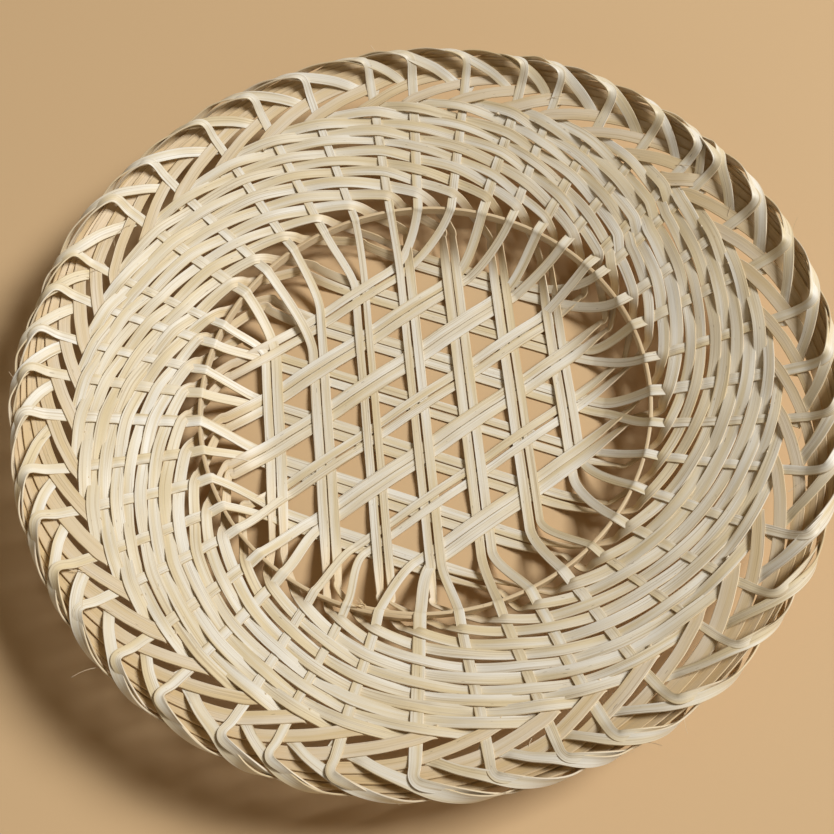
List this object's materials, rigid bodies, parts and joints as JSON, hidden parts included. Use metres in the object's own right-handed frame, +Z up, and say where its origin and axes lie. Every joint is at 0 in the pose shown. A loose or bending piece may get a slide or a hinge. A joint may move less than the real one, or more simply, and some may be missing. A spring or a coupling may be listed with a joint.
{
  "type": "woven bamboo plate",
  "caption": "Round shallow plate woven from flat split-bamboo splints: lattice floor in a sunk well, hoop at its edge, sloping plain-woven brim and looped rim.",
  "frame": {"origin": "middle of the plate on the surface that it stands on", "axes": "+Z up, out of the open side; +X and +Y lie in the floor, +Y along the middle direction of splints"},
  "size_m": [0.2992, 0.299, 0.0367],
  "materials": {
    "splint": "satin split bamboo",
    "hoop": "matte bamboo, darker"
  },
  "bodies": {
    "root": {"splint_a_near_1": "splint", "splint_a_near_2": "splint", "splint_a_near_3": "splint", "splint_a_near_4": "splint", "splint_a_near_5": "splint", "splint_a_near_6": "splint", "splint_a_near_7": "splint", "splint_a_far_1": "splint", "splint_a_far_2": "splint", "splint_a_far_3": "splint", "splint_a_far_4": "splint", "splint_a_far_5": "splint", "splint_a_far_6": "splint", "splint_a_far_7": "splint", "splint_b_near_1": "splint", "splint_b_near_2": "splint", "splint_b_near_3": "splint", "splint_b_near_4": "splint", "splint_b_near_5": "splint", "splint_b_near_6": "splint", "splint_b_near_7": "splint", "splint_b_far_1": "splint", "splint_b_far_2": "splint", "splint_b_far_3": "splint", "splint_b_far_4": "splint", "splint_b_far_5": "splint", "splint_b_far_6": "splint", "splint_b_far_7": "splint", "splint_c_near_1": "splint", "splint_c_near_2": "splint", "splint_c_near_3": "splint", "splint_c_near_4": "splint", "splint_c_near_5": "splint", "splint_c_near_6": "splint", "splint_c_near_7": "splint", "splint_c_far_1": "splint", "splint_c_far_2": "splint", "splint_c_far_3": "splint", "splint_c_far_4": "splint", "splint_c_far_5": "splint", "splint_c_far_6": "splint", "splint_c_far_7": "splint", "well_hoop": "hoop"}
  },
  "joints": []
}
